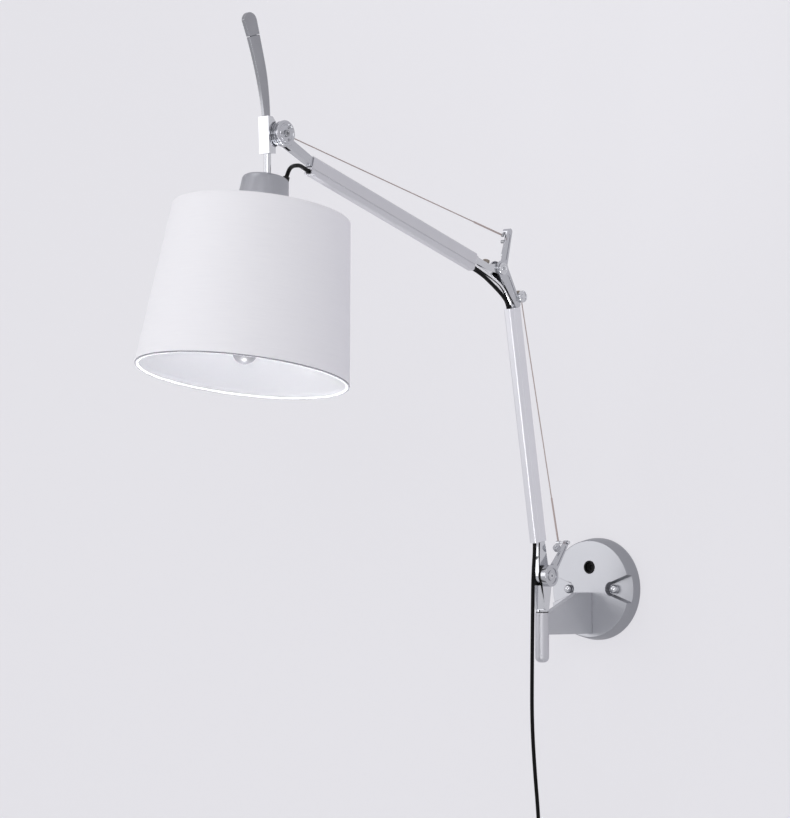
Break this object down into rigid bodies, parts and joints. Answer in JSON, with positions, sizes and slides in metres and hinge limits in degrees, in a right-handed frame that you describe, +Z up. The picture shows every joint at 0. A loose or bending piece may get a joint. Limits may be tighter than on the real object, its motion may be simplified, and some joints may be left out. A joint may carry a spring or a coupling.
{
  "type": "articulating wall lamp",
  "caption": "Wall lamp: a round plate with a swivel socket carries spring-balanced tubular arms with polished joints, a tilting head with a handle, and a tapered fabric shade.",
  "frame": {"origin": "centre of the two wall screws at the wall plate's back face", "axes": "+Y into the wall along the screws, -Y into the room, +Z up, arms in the plane X = 0 at rest"},
  "size_m": [0.2024, 0.6911, 0.9156],
  "materials": {
    "plate_steel": "satin nickel-plated steel",
    "satin_alloy": "fine satin, clear anodised",
    "arm_alloy": "satin anodised extrusion",
    "polished_chrome": "bright chrome plate",
    "cap_chrome": "bright chrome plate",
    "screw_steel": "zinc-plated steel",
    "pulley_brass": "turned brass, partly nickel-plated",
    "black_plastic": "moulded black plastic",
    "cord_black": "extruded black cord sheath",
    "wire_steel": "stranded stainless wire",
    "shade_fabric": "plain-woven off-white textile laminated on film",
    "shade_frame": "white powder coat",
    "bulb_glass": "opal white glass"
  },
  "bodies": {
    "wall_mount": {"wall_plate": "plate_steel", "bracket_block": "satin_alloy", "bracket_screws": "screw_steel", "socket_sleeve": "satin_alloy", "socket_bush": "black_plastic", "cable_grommet": "black_plastic", "wall_screws": "screw_steel", "screw_caps": "cap_chrome"},
    "stem": {"stem_fork": "polished_chrome", "shoulder_pin": "polished_chrome", "shoulder_washers": "black_plastic", "anchor_lever": "polished_chrome", "lever_pins": "polished_chrome", "supply_lead": "cord_black", "supply_cord": "cord_black", "supply_coil": "cord_black", "coil_tie": "black_plastic", "mains_plug": "black_plastic", "plug_pins": "pulley_brass"},
    "tension_nut": {"lower_tension_nut": "polished_chrome"},
    "lower_arm": {"lower_tube": "arm_alloy", "lower_tongue": "polished_chrome", "lower_stop_screw": "screw_steel", "lower_spring": "screw_steel", "elbow_bracket": "polished_chrome", "elbow_pins": "polished_chrome", "upper_wire_anchor": "screw_steel", "lower_inner_cord": "cord_black", "elbow_cord": "cord_black", "elbow_strap": "polished_chrome"},
    "elbow_wheel": {"elbow_pulley": "pulley_brass"},
    "lower_cable": {"lower_wire": "wire_steel"},
    "lower_cable_sleeve": {"lower_wire_end": "wire_steel"},
    "upper_arm": {"upper_tube": "arm_alloy", "upper_tongue": "polished_chrome", "upper_spring": "screw_steel", "upper_inner_cord": "cord_black", "wrist_link": "polished_chrome", "wrist_pin": "polished_chrome", "wrist_disc": "polished_chrome", "wrist_disc_screws": "screw_steel", "upper_wire": "wire_steel", "loop_from_tube": "cord_black"},
    "friction_screw": {"elbow_friction_screw": "polished_chrome"},
    "wrist_wheel": {"wrist_pulley": "pulley_brass"},
    "upper_cable_sleeve": {"upper_wire_end": "wire_steel"},
    "head_joint": {"head_block": "polished_chrome", "handle": "polished_chrome", "handle_grip": "polished_chrome"},
    "head": {"head_rod": "polished_chrome", "cap": "satin_alloy", "cap_gland": "black_plastic", "lamp_holder": "black_plastic", "holder_ring": "black_plastic", "bulb_base": "pulley_brass", "bulb_glass": "bulb_glass", "shade_spokes": "shade_frame", "shade_rings": "shade_frame", "shade": "shade_fabric", "loop_to_cap": "cord_black"}
  },
  "joints": [
    {"name": "base_swivel", "type": "hinge", "parent": "wall_mount", "child": "stem", "pos_m": [0, -0.1, 0], "axis": [0, 0, 1], "range_deg": [-80, 80]},
    {"name": "shoulder_tilt", "type": "hinge", "parent": "stem", "child": "lower_arm", "pos_m": [0, -0.1, 0.014], "axis": [1, 0, 0], "range_deg": [-25, 25], "deforming": ["supply_lead", "lower_wire"]},
    {"name": "elbow_tilt", "type": "hinge", "parent": "lower_arm", "child": "upper_arm", "pos_m": [0, -0.17282, 0.32855], "axis": [1, 0, 0], "range_deg": [-28, 28], "deforming": ["elbow_cord", "elbow_strap", "upper_wire"]},
    {"name": "wrist_tilt", "type": "hinge", "parent": "upper_arm", "child": "head_joint", "pos_m": [0, -0.51537, 0.43156], "axis": [1, 0, 0], "range_deg": [-45, 12], "deforming": ["loop_from_tube"]},
    {"name": "head_swivel", "type": "hinge", "parent": "head_joint", "child": "head", "pos_m": [0, -0.5282, 0.41], "axis": [0, 0, 1], "range_deg": [-45, 45], "deforming": ["loop_to_cap"]},
    {"name": "tension_nut_turn", "type": "hinge", "parent": "stem", "child": "tension_nut", "pos_m": [0.0102, -0.0807, 0.0374], "axis": [0, -0.7799, 0.6259], "range_deg": [-180, 180]},
    {"name": "friction_screw_turn", "type": "hinge", "parent": "upper_arm", "child": "friction_screw", "pos_m": [0, -0.19454, 0.33088], "axis": [0, 0.2823, 0.9593], "range_deg": [-180, 180]},
    {"name": "elbow_wheel_turn", "type": "hinge", "parent": "lower_arm", "child": "elbow_wheel", "pos_m": [0, -0.14114, 0.30188], "axis": [1, 0, 0], "range_deg": [-165, 165]},
    {"name": "wrist_wheel_turn", "type": "hinge", "parent": "upper_arm", "child": "wrist_wheel", "pos_m": [0, -0.51537, 0.43156], "axis": [1, 0, 0], "range_deg": [-260, 260]},
    {"name": "lower_cable_turn", "type": "hinge", "parent": "lower_arm", "child": "lower_cable", "pos_m": [0, -0.14114, 0.30188], "axis": [1, 0, 0], "range_deg": [-2.6, 2.6]},
    {"name": "lower_cable_run", "type": "slide", "parent": "lower_cable", "child": "lower_cable_sleeve", "axis": [0, 0.2437, -0.9698], "range_m": [-0.017, 0.017], "deforming": ["lower_wire_end"]},
    {"name": "upper_cable_run", "type": "slide", "parent": "upper_arm", "child": "upper_cable_sleeve", "axis": [0, 0.9796, -0.2011], "range_m": [-0.0185, 0.0185], "deforming": ["upper_wire_end"]}
  ],
  "couplings": [
    {"joint": "elbow_wheel_turn", "follows": "shoulder_tilt", "ratio": 6.2},
    {"joint": "lower_cable_turn", "follows": "shoulder_tilt", "ratio": 0.1},
    {"joint": "lower_cable_run", "follows": "shoulder_tilt", "m_per_rad": 0.0358},
    {"joint": "wrist_wheel_turn", "follows": "elbow_tilt", "ratio": 9.1},
    {"joint": "upper_cable_run", "follows": "elbow_tilt", "m_per_rad": 0.0355}
  ]
}
